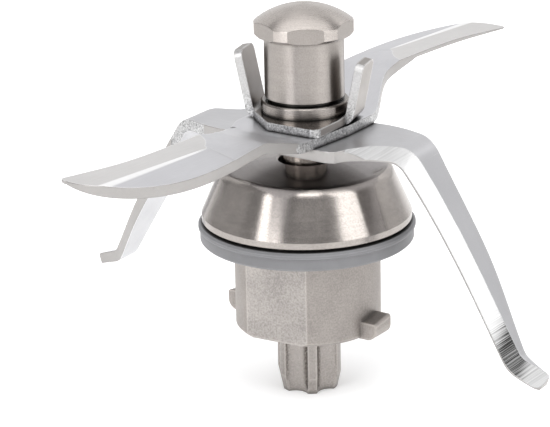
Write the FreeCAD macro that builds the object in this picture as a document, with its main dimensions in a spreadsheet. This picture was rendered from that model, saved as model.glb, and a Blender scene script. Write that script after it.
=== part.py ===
import FreeCAD, Part
import math
import os

import Sketcher
from FreeCAD import Placement, Rotation, Vector

# Blade assembly of a kitchen blender: a spindle in two ball bearings carries three stacked
# plates under a cap nut, and a cast body under a bell cover locks into the floor of the jug.
# The frame: Z is the spindle axis, the origin is at the foot of the drive coupling, and the
# view that the sizes come from looks along +Y. Lengths are millimetres, angles are degrees.

DOC = FreeCAD.newDocument("BladeAssembly")
UP = Vector(0, 0, 1)

SIZES = [
    # Heights, from the foot of the coupling upwards
    ("coupling_reach", 12.0, "coupling that stands out below the body"),
    ("body_height", 19.3, "foot of the body to the underside of its flange"),
    ("flange_height", 2.1, "flange under the bell cover"),
    ("bell_gap", 0.36, "shadow gap between gasket and bell"),
    ("bell_height", 10.81, "rim to the edge of the spindle hole"),
    ("bell_crown", 3.2, "solid crown of the bell round its hole"),
    ("blade_clearance", 3.53, "bell to the lowest plate"),
    ("lower_thick", 2.0, "sheet of the lower blade"),
    ("upper_thick", 1.8, "sheet of the upper blade"),
    ("ear_thick", 1.47, "sheet of the eared plate"),
    ("ring_thick", 2.08, "clamp ring"),
    ("undercut_height", 0.6, "dark groove under the sleeve of the cap nut"),
    ("sleeve_height", 10.77, "round sleeve of the cap nut"),
    ("head_height", 2.29, "straight rim of the head"),
    ("dome_height", 2.99, "rise of the dome above the rim"),
    # Cap nut and clamp ring
    ("head_radius", 8.62, "turned corners of the hexagon head"),
    ("head_flats", 16.1, "hexagon across its flats"),
    ("head_flat_turn", 1.6, "turn of the hexagon about the axis"),
    ("head_bevel", 0.45, "bevel under the corners of the head"),
    ("sleeve_radius", 6.91, "sleeve of the cap nut"),
    ("undercut_radius", 6.3, "neck in the groove"),
    ("nut_bore_depth", 8.6, "threaded blind hole of the cap nut"),
    ("ring_radius", 7.64, "clamp ring"),
    ("edge_break", 0.25, "small bevel on turned edges"),
    # Spindle
    ("shaft_radius", 4.0, "spindle above the bearings"),
    ("journal_radius", 3.5, "spindle in the bearings"),
    ("stub_radius", 3.0, "spindle in the coupling"),
    ("stub_length", 11.0, "depth of the spindle in the coupling"),
    ("seat_radius", 3.5, "seat of the plates"),
    ("seat_flat", 2.75, "flats of the seat, from the axis"),
    ("thread_radius", 3.0, "end that carries the cap nut"),
    ("thread_length", 7.6, "length of that end"),
    ("slide_fit", 0.02, "radial clearance of pieces that slide together"),
    ("run_fit", 0.04, "radial clearance of pieces that turn in each other"),
    # Ball bearings, 7 by 19 by 6
    ("bearing_radius", 9.5, "outer ring"),
    ("bearing_width", 6.0, "width of a bearing"),
    ("pitch_radius", "=(bearing_radius + journal_radius) / 2", "circle of the ball centres"),
    ("ball_radius", 1.98, "ball"),
    ("land_gap", 1.4, "circle of the ball centres to the shoulders of the rings"),
    ("inner_land", "=pitch_radius - land_gap", "shoulder of the inner ring"),
    ("outer_land", "=pitch_radius + land_gap", "shoulder of the outer ring"),
    ("cage_thick", 1.1, "wall of the cage"),
    ("cage_width", 5.2, "width of the cage"),
    ("ball_count", 7, "balls in a bearing"),
    ("bearing_lift", 2.0, "foot of the body to the lower bearing"),
    ("spacer_radius", 5.0, "sleeve between the inner rings"),
    # Body that locks into the jug
    ("body_radius", 12.9, "outer wall of the cast body"),
    ("flat_distance", 11.45, "two flats, from the axis"),
    ("flat_turn", 60.0, "direction of a flat"),
    ("shoulder_radius", 8.2, "bore between the bearings"),
    ("neck_wall", 1.9, "wall round the upper bearing"),
    ("neck_radius", "=bearing_radius + neck_wall", "neck inside the bell"),
    ("flange_radius", 17.3, "flange inside the bell"),
    ("foot_bevel", 0.5, "bevel at the foot of the body"),
    ("lug_turn", -35.2, "direction of a lug"),
    ("lug_reach", 15.75, "outer face of a lug, from the axis"),
    ("lug_width", 4.8, "lug along the wall"),
    ("lug_low", 3.1, "lug height at the low end of its ramp"),
    ("lug_high", 3.7, "lug height at the high end of its ramp"),
    ("lug_round", 1.9, "rounded lower edge of a lug"),
    ("clip_thick", 1.0, "retaining ring of the lower bearing"),
    ("clip_cover", 1.15, "how far the retaining ring covers the bearing"),
    ("clip_depth", 0.6, "depth of its groove"),
    ("clip_inner", "=bearing_radius - clip_cover", "inner edge of the retaining ring"),
    ("clip_groove", "=bearing_radius + clip_depth", "floor of the groove of the retaining ring"),
    ("clip_gap", 3.0, "opening of the retaining ring"),
    # Bell cover
    ("bell_hole", 4.81, "hole that the spindle passes"),
    ("bell_skirt", 1.13, "wall of the band at the rim"),
    ("bell_radius", "=flange_radius + slide_fit + bell_skirt", "band at the rim"),
    ("bell_band", 1.34, "height of that band"),
    ("bell_shoulder", 14.85, "where flank and top would meet"),
    ("bell_shoulder_drop", 1.25, "the same point below the hole's edge"),
    ("bell_round", 2.4, "rounding of the shoulder"),
    ("bell_wall", 1.25, "wall of the flank"),
    # Gasket, O-ring and shaft seal
    ("gasket_height", 3.2, "height of the gasket"),
    ("gasket_overhang", 0.35, "gasket beyond the rim of the bell"),
    ("gasket_bead", 0.3, "lip beyond the wall of the gasket"),
    ("gasket_radius", "=bell_radius + gasket_overhang", "lower wall of the gasket"),
    ("gasket_lip", "=gasket_radius + gasket_bead", "lip above it"),
    ("gasket_lip_height", 1.15, "height of the lip"),
    ("gasket_round", 0.4, "bevel of the lip"),
    ("o_ring_section", 0.55, "radius of the O-ring's section"),
    ("o_ring_groove", 1.2, "width of its groove"),
    ("seal_height", 2.8, "shaft seal"),
    ("seal_gap", 0.05, "lip of the shaft seal off the shaft"),
    ("seal_lip", "=shaft_radius + seal_gap", "radius of that lip"),
    ("seal_lip_thick", 0.65, "wall of the lip"),
    ("seal_wall", 1.3, "outer wall of the seal"),
    ("seal_web", 1.0, "top web of the seal"),
    ("spring_section", 0.45, "radius of the garter spring's section"),
    # Drive coupling
    ("lobe_count", 6, "lobes of the star"),
    ("lobe_radius", 5.85, "tip of a lobe"),
    ("lobe_width", 1.7, "width of a lobe"),
    ("valley_radius", 3.95, "bottom of a valley"),
    ("lobe_turn", -85.4, "direction of one lobe"),
    ("lead_in", 0.7, "taper at the foot of the lobes"),
    ("lead_in_height", 3.0, "height of that taper"),
    ("collar_radius", 5.0, "round collar against the bearing"),
    # Eared plate
    ("ear_turn", -20.0, "direction of an ear"),
    ("ear_base", 8.3, "inner face of an ear at the plate"),
    ("ear_height", 9.5, "ear above the plate"),
    ("ear_twin_height", 10.6, "the other ear, which is a little longer"),
    ("ear_lean", 11.5, "lean of an ear"),
    ("ear_width", 6.3, "width of an ear"),
    ("ear_bend", 0.9, "inner radius of the bend"),
    ("ear_round", 1.4, "rounding of its top corners"),
    ("ear_corner_along", 6.1, "long corner of the plate, along the ears"),
    ("ear_corner_across", 12.1, "long corner, across the ears"),
    ("ear_side_along", 3.54, "short corner, along the ears"),
    ("ear_side_across", 9.6, "short corner, across the ears"),
    # Upper blade
    ("upper_turn", 50.0, "direction of an arm"),
    ("upper_half", 9.4, "half the width of the strip at the hub"),
    ("upper_rise_start", 12.5, "where an arm starts to rise"),
    ("upper_rise_end", 23.5, "where it has risen"),
    ("upper_twist_end", 33.0, "where its tilt is complete"),
    ("upper_rise", 3.05, "height that it rises to"),
    ("upper_blunt_rise", 2.7, "rise of the blunt edge beyond the twist"),
    ("upper_tilt", 11.0, "tilt of an arm about its length"),
    ("upper_bend", 6.0, "inner radius of the bends of the rise"),
    ("upper_reach", 58.4, "tip, along the arm"),
    ("upper_tip_across", 1.5, "tip, across the arm"),
    ("upper_nose", 1.6, "height of the rounded nose"),
    ("upper_belly", 12.8, "widest point of the blunt edge"),
    ("upper_belly_at", 40.0, "the same point along the arm"),
    ("upper_grind", 1.2, "height of the ground face over the blunt edge"),
    ("upper_grind_start", 17.0, "where the ground face starts"),
    # Lower blade
    ("lower_turn", -33.0, "direction of an arm"),
    ("lower_half", 10.2, "half the width of the strip at the hub"),
    ("lower_bend_at", 22.4, "corner of the drop, along the arm"),
    ("lower_drop", 54.5, "angle of the drop"),
    ("lower_drop_height", 32.0, "height of the drop"),
    ("lower_bend", 3.4, "inner radius of the drop bend"),
    ("foot_angle", 20.0, "slope of the foot"),
    ("foot_length", 5.8, "length of the foot"),
    ("foot_bend", 3.0, "inner radius of the foot bend"),
    ("lower_bevel", 3.0, "width of the ground edge"),
    ("lower_land", 0.35, "blunt land left under the ground edge"),
]


class Term:
    """A size and the formula that gives it: the number draws, the text binds to the sheet."""

    def __init__(self, value, text=None):
        self.value = float(value)
        self.text = text if text else "(" + repr(float(value)) + ")"

    def __add__(self, other):
        other = as_term(other)
        return Term(self.value + other.value, "(" + self.text + " + " + other.text + ")")

    def __sub__(self, other):
        other = as_term(other)
        return Term(self.value - other.value, "(" + self.text + " - " + other.text + ")")

    def __mul__(self, other):
        other = as_term(other)
        return Term(self.value * other.value, "(" + self.text + " * " + other.text + ")")

    def __truediv__(self, other):
        other = as_term(other)
        return Term(self.value / other.value, "(" + self.text + " / " + other.text + ")")

    def __neg__(self):
        return Term(-self.value, "(0 - " + self.text + ")")


def as_term(size):
    return size if isinstance(size, Term) else Term(size)


class Sheet:
    """The driving sizes: one row each, read back as terms by name."""

    def __init__(self, document, rows):
        self.cells = document.addObject("Spreadsheet::Sheet", "Sizes")
        for row, (alias, size, meaning) in enumerate(rows, start=1):
            self.cells.set("A" + str(row), alias)
            self.cells.set("B" + str(row), str(size))
            self.cells.set("C" + str(row), meaning)
            self.cells.setAlias("B" + str(row), alias)
        document.recompute()

    def __getattr__(self, alias):
        return Term(self.cells.get(alias), "Sizes." + alias)


S = Sheet(DOC, SIZES)

# Levels, each one tied to the one below
body_foot = S.coupling_reach
flange_foot = body_foot + S.body_height
flange_top = flange_foot + S.flange_height
gasket_foot = flange_foot - S.gasket_height
bell_foot = flange_foot + S.bell_gap
bell_top = bell_foot + S.bell_height
neck_top = bell_top - S.bell_crown
seat_foot = bell_top + S.blade_clearance
lower_top = seat_foot + S.lower_thick
upper_top = lower_top + S.upper_thick
ear_top = upper_top + S.ear_thick
ring_top = ear_top + S.ring_thick
sleeve_foot = ring_top + S.undercut_height
head_foot = sleeve_foot + S.sleeve_height
rim_top = head_foot + S.head_height
dome_top = rim_top + S.dome_height
lower_bearing_foot = body_foot + S.bearing_lift
lower_bearing_top = lower_bearing_foot + S.bearing_width
upper_bearing_top = neck_top - S.seal_height
upper_bearing_foot = upper_bearing_top - S.bearing_width

NODES = []


def named(piece, label):
    """Marks a finished piece of the assembly and gives it the name of its file."""
    piece.Label = label
    NODES.append(piece)
    return piece


def new_body(label, turn=0.0):
    """A body that becomes a piece, turned about the spindle axis."""
    body = DOC.addObject("PartDesign::Body", label)
    body.Placement = Placement(Vector(), Rotation(UP, turn))
    return named(body, label)


def new_sketch(body, name, role, lift=None, turn=None):
    """A sketch on one of the body's own planes, lifted along its normal and turned in itself."""
    sketch = body.newObject("Sketcher::SketchObject", name)
    plane = [feature for feature in body.Origin.OriginFeatures if feature.Role == role][0]
    sketch.AttachmentSupport = (plane, [""])
    sketch.MapMode = "FlatFace"
    spin = Rotation(UP, turn.value) if turn else Rotation()
    sketch.AttachmentOffset = Placement(Vector(0, 0, lift.value if lift else 0), spin)
    if lift:
        sketch.setExpression("AttachmentOffset.Base.z", lift.text)
    return sketch


def pin(sketch, geometry, end, across, along):
    """Binds one end of a line to the sheet."""
    for kind, axis, size in (("DistanceX", -2, across), ("DistanceY", -1, along)):
        if abs(size.value) < 1e-9:
            sketch.addConstraint(Sketcher.Constraint("PointOnObject", geometry, end, axis))
            continue
        index = sketch.addConstraint(Sketcher.Constraint(kind, -1, 1, geometry, end, size.value))
        sketch.setExpression("Constraints[" + str(index) + "]", size.text)


def dome_edge(first, second):
    """An arc between two corners whose centre lies on the vertical axis."""
    rise = second.y - first.y
    centre = (second.x**2 + second.y**2 - first.x**2 - first.y**2) / (2 * rise)
    radius = math.hypot(first.x, first.y - centre)
    angles = [math.atan2(corner.y - centre, corner.x) for corner in (second, first)]
    circle = Part.Circle(Vector(0, centre, 0), UP, radius)
    return Part.ArcOfCircle(circle, angles[0], angles[1])


def outline(sketch, corners, dome=None):
    """A closed outline with every corner bound; the side after corner dome is a domed arc."""
    corners = [(as_term(x), as_term(y)) for x, y in corners]
    points = [Vector(x.value, y.value, 0) for x, y in corners]
    count = len(points)
    ends = []
    first = sketch.GeometryCount
    for side in range(count):
        here = points[side]
        there = points[(side + 1) % count]
        if side == dome:
            sketch.addGeometry(dome_edge(here, there), False)
            ends.append((2, 1))
        else:
            sketch.addGeometry(Part.LineSegment(here, there), False)
            ends.append((1, 2))
    for side in range(count):
        after = (side + 1) % count
        joint = (first + side, ends[side][1], first + after, ends[after][0])
        sketch.addConstraint(Sketcher.Constraint("Coincident", *joint))
    if dome is not None:
        sketch.addConstraint(Sketcher.Constraint("PointOnObject", first + dome, 3, -2))
    for side, (across, along) in enumerate(corners):
        pin(sketch, first + side, ends[side][0], across, along)
    return sketch


def circle(sketch, radius):
    """A circle about the axis."""
    index = sketch.addGeometry(Part.Circle(Vector(), UP, radius.value), False)
    sketch.addConstraint(Sketcher.Constraint("Coincident", index, 3, -1, 1))
    row = sketch.addConstraint(Sketcher.Constraint("Radius", index, radius.value))
    sketch.setExpression("Constraints[" + str(row) + "]", radius.text)
    return sketch


def hexagon(radius, across=0, along=0):
    """Six corners round a point, the first of them straight across from it."""
    corners = []
    for step in range(6):
        angle = math.pi / 3 * step
        corners.append((
            radius * round(math.cos(angle), 12) + across,
            radius * round(math.sin(angle), 12) + along,
        ))
    return corners


def free_outline(sketch, pieces):
    """A closed outline of ready lines, arcs and curves."""
    for piece in pieces:
        sketch.addGeometry(piece, False)
    return sketch


def lines(points):
    """Straight sides through points."""
    return [Part.LineSegment(a, b) for a, b in zip(points, points[1:])]


def curve(points):
    """One smooth curve through points."""
    spline = Part.BSplineCurve()
    spline.interpolate(points)
    return spline


def through(length, width, shares):
    """A smooth curve through points given as shares of a length and a width."""
    return curve([Vector(length * along, width * across, 0) for along, across in shares])


def revolve(body, name, corners, dome=None, cut=False, aside=None):
    """Turns a profile of (radius, height) corners about the spindle axis, or about one aside."""
    sketch = new_sketch(body, name + "Profile", "XZ_Plane")
    if aside:
        sketch.AttachmentOffset = Placement(Vector(aside.value, 0, 0), Rotation())
        sketch.setExpression("AttachmentOffset.Base.x", aside.text)
    outline(sketch, corners, dome)
    kind = "PartDesign::Groove" if cut else "PartDesign::Revolution"
    feature = body.newObject(kind, name)
    feature.Profile = sketch
    feature.ReferenceAxis = (sketch, ["V_Axis"])
    feature.Angle = 360
    return feature


def pad(body, name, sketch, length):
    feature = body.newObject("PartDesign::Pad", name)
    feature.Profile = sketch
    feature.Length = length.value
    feature.setExpression("Length", length.text)
    return feature


def pocket(body, name, sketch, depth):
    """Cuts against the normal of the sketch."""
    feature = body.newObject("PartDesign::Pocket", name)
    feature.Profile = sketch
    feature.Length = depth.value
    feature.setExpression("Length", depth.text)
    return feature


def around(body, name, features, count):
    """Repeats features evenly about the spindle axis."""
    pattern = body.newObject("PartDesign::PolarPattern", name)
    axis = [feature for feature in body.Origin.OriginFeatures if feature.Role == "Z_Axis"][0]
    pattern.Originals = features
    pattern.Axis = (axis, [""])
    pattern.Angle = 360
    pattern.Occurrences = count
    body.Tip = pattern
    return pattern


def circle_edges(shape, radius, height):
    """Names of the round edges of one radius at one height."""
    names = []
    for index, edge in enumerate(shape.Edges, start=1):
        if not isinstance(edge.Curve, Part.Circle):
            continue
        off = abs(edge.Curve.Radius - radius.value) + abs(edge.Curve.Center.z - height.value)
        if off < 1e-3:
            names.append("Edge" + str(index))
    return names


def edges_through(shape, points, reach=0.02):
    """Names of the edges whose middle lies at one of the points."""
    names = []
    for index, edge in enumerate(shape.Edges, start=1):
        low, high = edge.ParameterRange
        middle = edge.valueAt((low + high) / 2)
        if any(middle.distanceToPoint(point) < reach for point in points):
            names.append("Edge" + str(index))
    return names


def dress(body, name, kind, edges, size):
    """A fillet or a chamfer on named edges of the body as it stands."""
    base = body.Tip
    feature = body.newObject("PartDesign::" + kind, name)
    feature.Base = (base, edges)
    key = "Radius" if kind == "Fillet" else "Size"
    setattr(feature, key, size.value)
    feature.setExpression(key, size.text)
    body.Tip = feature
    return feature


def cut_seat(body, name, foot, top):
    """The hole with two flats that fits the spindle's seat."""
    over = S.slide_fit * 10
    sketch = new_sketch(body, name + "Outline", "XY_Plane", top + over)
    radius = (S.seat_radius + S.slide_fit).value
    flat = (S.seat_flat + S.slide_fit).value
    half = math.sqrt(radius**2 - flat**2)
    turn = body.Placement.Rotation.inverted()
    corners = [(half, flat), (-half, flat), (-half, -flat), (half, -flat)]
    corners = [turn.multVec(Vector(x, y, 0)) for x, y in corners]
    sides = [turn.multVec(Vector(x, 0, 0)) for x in (-radius, radius)]
    free_outline(sketch, [
        Part.LineSegment(corners[0], corners[1]),
        Part.Arc(corners[1], sides[0], corners[2]),
        Part.LineSegment(corners[2], corners[3]),
        Part.Arc(corners[3], sides[1], corners[0]),
    ])
    return pocket(body, name, sketch, top - foot + over * 2)


# Cap nut: a domed hexagon head and a round sleeve in one piece, bored blind from below
def make_cap_nut():
    body = new_body("cap_nut")
    turned = [
        (0, dome_top),
        (S.head_radius, rim_top),
        (S.head_radius, head_foot + S.head_bevel),
        (S.head_radius - S.head_bevel, head_foot),
        (S.sleeve_radius, head_foot),
        (S.sleeve_radius, sleeve_foot),
        (S.undercut_radius, sleeve_foot),
        (S.undercut_radius, ring_top),
        (0, ring_top),
    ]
    revolve(body, "CapTurned", turned, dome=0)
    over = S.head_bevel
    sketch = new_sketch(body, "CapHexagon", "XY_Plane", dome_top + over, S.head_flat_turn)
    outline(sketch, hexagon(S.head_flats / (2 * math.cos(math.pi / 6))))
    circle(sketch, S.head_radius * 1.2)
    pocket(body, "CapFlats", sketch, dome_top - head_foot + over * 2)
    bore = S.thread_radius + S.slide_fit
    hole_top = ring_top + S.nut_bore_depth
    drilled = [(0, ring_top), (bore, ring_top), (bore, hole_top), (0, hole_top + bore / 2)]
    revolve(body, "CapBore", drilled, cut=True)


# Clamp ring: a thick washer between the nut and the plates, with the seat's two flats
def make_clamp_ring():
    body = new_body("clamp_ring")
    turned = [
        (0, ear_top),
        (S.ring_radius, ear_top),
        (S.ring_radius, ring_top - S.edge_break),
        (S.ring_radius - S.edge_break, ring_top),
        (0, ring_top),
    ]
    revolve(body, "RingTurned", turned)
    cut_seat(body, "RingSeat", ear_top, ring_top)


# Spindle: stub, journal, shoulder, seat with two flats, and the end for the nut
def make_spindle():
    body = new_body("spindle")
    stub_foot = lower_bearing_foot - S.stub_length
    seat_top = ring_top - S.slide_fit
    tip = ring_top + S.thread_length
    turned = [
        (0, stub_foot),
        (S.stub_radius, stub_foot),
        (S.stub_radius, lower_bearing_foot),
        (S.journal_radius, lower_bearing_foot),
        (S.journal_radius, upper_bearing_top),
        (S.shaft_radius, upper_bearing_top),
        (S.shaft_radius, seat_foot),
        (S.seat_radius, seat_foot),
        (S.seat_radius, seat_top),
        (S.thread_radius, seat_top),
        (S.thread_radius, tip - S.edge_break),
        (S.thread_radius - S.edge_break, tip),
        (0, tip),
    ]
    revolve(body, "SpindleTurned", turned)
    for side in (1, -1):
        sketch = new_sketch(body, "SeatFlat" + str(side), "XY_Plane", seat_top)
        near = S.seat_flat * side
        far = S.shaft_radius * side
        wide = S.shaft_radius
        outline(sketch, [(-wide, near), (wide, near), (wide, far), (-wide, far)])
        pocket(body, "SeatCut" + str(side), sketch, seat_top - seat_foot)


# Bell cover: turned shell whose flank runs down to a short straight band
def make_bell():
    body = new_body("bell_cover")
    band_top = bell_foot + S.bell_band
    shoulder = bell_top - S.bell_shoulder_drop
    inner_top = neck_top + S.bell_gap / 4
    fall = (S.bell_radius - S.bell_shoulder) / (shoulder - band_top)
    inner_shoulder = S.bell_radius - S.bell_wall - fall * (inner_top - band_top)
    skirt = S.flange_radius + S.slide_fit
    step = skirt - S.bell_wall / 2
    turned = [
        (S.bell_hole, bell_top),
        (S.bell_shoulder, shoulder),
        (S.bell_radius, band_top),
        (S.bell_radius, bell_foot),
        (skirt, bell_foot),
        (skirt, flange_top),
        (step, flange_top),
        (inner_shoulder, inner_top),
        (S.bell_hole, inner_top),
    ]
    revolve(body, "BellTurned", turned)
    DOC.recompute()
    edges = circle_edges(body.Shape, S.bell_shoulder, shoulder)
    dress(body, "BellShoulder", "Fillet", edges, S.bell_round)
    DOC.recompute()
    edges = circle_edges(body.Shape, S.bell_radius, bell_foot)
    edges += circle_edges(body.Shape, S.bell_hole, bell_top)
    dress(body, "BellEdges", "Chamfer", edges, S.edge_break)


# Gasket: soft ring under the flange, with a lip round its upper edge
def make_gasket():
    body = new_body("gasket")
    inner = S.body_radius + S.slide_fit
    lip_foot = flange_foot - S.gasket_lip_height
    turned = [
        (inner, gasket_foot),
        (S.gasket_radius - S.edge_break, gasket_foot),
        (S.gasket_radius, gasket_foot + S.edge_break),
        (S.gasket_radius, lip_foot),
        (S.gasket_lip, lip_foot + (S.gasket_lip - S.gasket_radius)),
        (S.gasket_lip, flange_foot),
        (inner, flange_foot),
    ]
    revolve(body, "GasketMoulded", turned)
    DOC.recompute()
    edges = circle_edges(body.Shape, S.gasket_lip, flange_foot)
    dress(body, "GasketLip", "Chamfer", edges, S.gasket_round)


# Cast body: flange and neck above, two flats and two ramped lugs below, bored for the bearings
def make_housing():
    body = new_body("bearing_housing")
    bore = S.bearing_radius + S.slide_fit
    clip_top = lower_bearing_foot
    clip_foot = clip_top - S.clip_thick
    ring_centre = flange_foot + S.flange_height / 2
    ring_half = S.o_ring_groove / 2
    ring_floor = S.flange_radius - S.o_ring_section * 2
    turned = [
        (bore, body_foot),
        (S.body_radius - S.foot_bevel, body_foot),
        (S.body_radius, body_foot + S.foot_bevel),
        (S.body_radius, flange_foot),
        (S.flange_radius, flange_foot),
        (S.flange_radius, ring_centre - ring_half),
        (ring_floor, ring_centre - ring_half),
        (ring_floor, ring_centre + ring_half),
        (S.flange_radius, ring_centre + ring_half),
        (S.flange_radius, flange_top),
        (S.neck_radius, flange_top),
        (S.neck_radius, neck_top),
        (bore, neck_top),
        (bore, upper_bearing_foot),
        (S.shoulder_radius, upper_bearing_foot),
        (S.shoulder_radius, lower_bearing_top),
        (bore, lower_bearing_top),
        (bore, clip_top),
        (S.clip_groove + S.slide_fit, clip_top),
        (S.clip_groove + S.slide_fit, clip_foot),
        (bore, clip_foot),
    ]
    revolve(body, "HousingTurned", turned)
    for side in (1, -1):
        sketch = new_sketch(body, "HousingFlat" + str(side), "XY_Plane", gasket_foot, S.flat_turn)
        near = S.flat_distance * side
        far = S.body_radius * side * 1.1
        wide = S.body_radius
        outline(sketch, [(near, -wide), (far, -wide), (far, wide), (near, wide)])
        pocket(body, "HousingFlatCut" + str(side), sketch, gasket_foot)
    root = (S.flat_distance + S.clip_groove) / 2
    sketch = new_sketch(body, "LugSide", "YZ_Plane")
    # the sketch plane is swung about its own upright, which is the spindle axis
    swing = math.radians(S.lug_turn.value)
    seat = Vector(root.value * math.sin(swing), 0, root.value * math.cos(swing))
    sketch.AttachmentOffset = Placement(seat, Rotation(Vector(0, 1, 0), S.lug_turn.value))
    half = S.lug_width / 2
    outline(sketch, [
        (-half, body_foot),
        (half, body_foot),
        (half, body_foot + S.lug_high),
        (-half, body_foot + S.lug_low),
    ])
    lug = pad(body, "Lug", sketch, S.lug_reach - root)
    DOC.recompute()
    around(body, "Lugs", [lug], 2)
    DOC.recompute()
    lug_top = body_foot + (S.lug_low + S.lug_high) / 2
    for name, level, size in (("LugFoot", body_foot, S.lug_round), ("LugTop", lug_top, S.foot_bevel)):
        spots = []
        for turn in (0, 180):
            out = Rotation(UP, S.lug_turn.value + turn)
            spots.append(out.multVec(Vector(S.lug_reach.value, 0, 0)) + UP * level.value)
        dress(body, name, "Fillet", edges_through(body.Shape, spots), size)
        DOC.recompute()


# Gathers the ring-shaped pieces that need no more than a turned section
def make_turned_rings():
    body = new_body("inner_spacer")
    bore = S.journal_radius + S.slide_fit
    revolve(body, "SpacerTurned", [
        (bore, lower_bearing_top),
        (S.spacer_radius, lower_bearing_top),
        (S.spacer_radius, upper_bearing_foot),
        (bore, upper_bearing_foot),
    ])

    body = new_body("shaft_seal")
    outer = S.bearing_radius
    wall = outer - S.seal_wall
    lip_back = (S.seal_lip + S.outer_land) / 2
    lip_root = S.seal_lip + S.seal_lip_thick
    web_foot = neck_top - S.seal_web
    revolve(body, "SealMoulded", [
        (outer, upper_bearing_top),
        (outer, neck_top),
        (lip_root + S.seal_web / 2, neck_top),
        (S.seal_lip, neck_top - S.seal_web / 2),
        (S.seal_lip, web_foot),
        (lip_root, web_foot - S.seal_web / 2),
        (lip_root, upper_bearing_top + S.seal_web / 2),
        (lip_back, upper_bearing_top + S.seal_web / 2),
        (lip_back, web_foot),
        (wall, web_foot),
        (wall, upper_bearing_top),
    ])

    body = new_body("seal_spring")
    spring_circle = lip_back + S.spring_section + S.slide_fit
    level = upper_bearing_top + S.seal_web
    revolve(body, "SpringWound", hexagon(S.spring_section, spring_circle, level))

    body = new_body("cover_o_ring")
    level = flange_foot + S.flange_height / 2
    ring_circle = S.flange_radius - S.o_ring_section
    revolve(body, "ORingMoulded", hexagon(S.o_ring_section, ring_circle, level))

    body = new_body("retaining_ring")
    sketch = new_sketch(body, "ClipOutline", "XY_Plane", lower_bearing_foot - S.clip_thick)
    circle(sketch, S.clip_groove)
    circle(sketch, S.clip_inner)
    pad(body, "ClipStamped", sketch, S.clip_thick)
    sketch = new_sketch(body, "ClipMouth", "XY_Plane", lower_bearing_foot)
    half = S.clip_gap / 2
    outline(sketch, [(half, 0), (-half, 0), (-half, S.body_radius), (half, S.body_radius)])
    pocket(body, "ClipOpening", sketch, S.clip_thick)


def bind(piece, key, size):
    setattr(piece, key, size.value)
    piece.setExpression(key, size.text)


def place(piece, height):
    piece.Placement = Placement(Vector(0, 0, height.value), Rotation())
    piece.setExpression("Placement.Base.z", height.text)


def tube(name, inner, outer, foot, height):
    """A plain ring as the cut of two cylinders."""
    parts = []
    for kind, radius in (("Outside", outer), ("Bore", inner)):
        part = DOC.addObject("Part::Cylinder", name + kind)
        bind(part, "Radius", radius)
        bind(part, "Height", height)
        place(part, foot)
        parts.append(part)
    ring = DOC.addObject("Part::Cut", name)
    ring.Base = parts[0]
    ring.Tool = parts[1]
    return ring


def drills(name, radius, foot):
    """Upright drills at the places of the balls."""
    cutters = []
    for index in range(int(S.ball_count.value)):
        angle = 2 * math.pi * index / S.ball_count.value
        cutter = DOC.addObject("Part::Cylinder", name + str(index))
        bind(cutter, "Radius", radius)
        bind(cutter, "Height", S.bearing_width)
        x = S.pitch_radius * math.cos(angle)
        y = S.pitch_radius * math.sin(angle)
        cutter.Placement = Placement(Vector(x.value, y.value, foot.value), Rotation())
        cutter.setExpression("Placement.Base.x", x.text)
        cutter.setExpression("Placement.Base.y", y.text)
        cutter.setExpression("Placement.Base.z", foot.text)
        cutters.append(cutter)
    return cutters


def raceway(side, centre):
    """Corners, from the top down, of the groove beside the balls: three flats round a ball."""
    clear = S.ball_radius + S.run_fit
    third = math.acos(S.land_gap.value / clear.value) / 3
    reach = clear / math.cos(third)
    half = math.acos(S.land_gap.value / reach.value)
    corners = []
    for share in (1, 1 / 3, -1 / 3, -1):
        across = reach * (side * math.cos(half * share))
        corners.append((S.pitch_radius + across, centre + reach * math.sin(half * share)))
    return corners


# Ball bearing: inner and outer ring with a groove each, balls, and a crown cage
def make_bearing(label, foot):
    centre = foot + S.bearing_width / 2
    top = foot + S.bearing_width
    bore = S.journal_radius + S.slide_fit
    body = new_body(label + "_inner_ring")
    inner = [(S.inner_land, foot), (bore, foot), (bore, top), (S.inner_land, top)]
    revolve(body, "InnerTurned", inner + raceway(-1, centre))
    body = new_body(label + "_outer_ring")
    outer = [(S.outer_land, foot), (S.bearing_radius, foot), (S.bearing_radius, top), (S.outer_land, top)]
    revolve(body, "OuterTurned", outer + raceway(1, centre))

    # the balls are small and many, so each is turned from half an octagon
    body = new_body(label + "_balls")
    near = S.ball_radius * math.sin(math.pi / 8)
    far = S.ball_radius * math.cos(math.pi / 8)
    profile = [(0, centre - far), (near, centre - far), (far, centre - near)]
    profile += [(far, centre + near), (near, centre + far), (0, centre + far)]
    ball = revolve(body, "Ball", profile, aside=S.pitch_radius)
    around(body, "BallRow", [ball], int(S.ball_count.value))

    half = S.cage_thick / 2
    cage_foot = centre - S.cage_width / 2
    blank = tube(label + "CageBlank", S.pitch_radius - half, S.pitch_radius + half, cage_foot, S.cage_width)
    pocket_radius = S.ball_radius + S.run_fit
    pockets = DOC.addObject("Part::MultiFuse", label + "Pockets")
    pockets.Shapes = drills(label + "Pocket", pocket_radius, centre - pocket_radius)
    cage = DOC.addObject("Part::Cut", label + "Cage")
    cage.Base = blank
    cage.Tool = pockets
    named(cage, label + "_cage")


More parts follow.
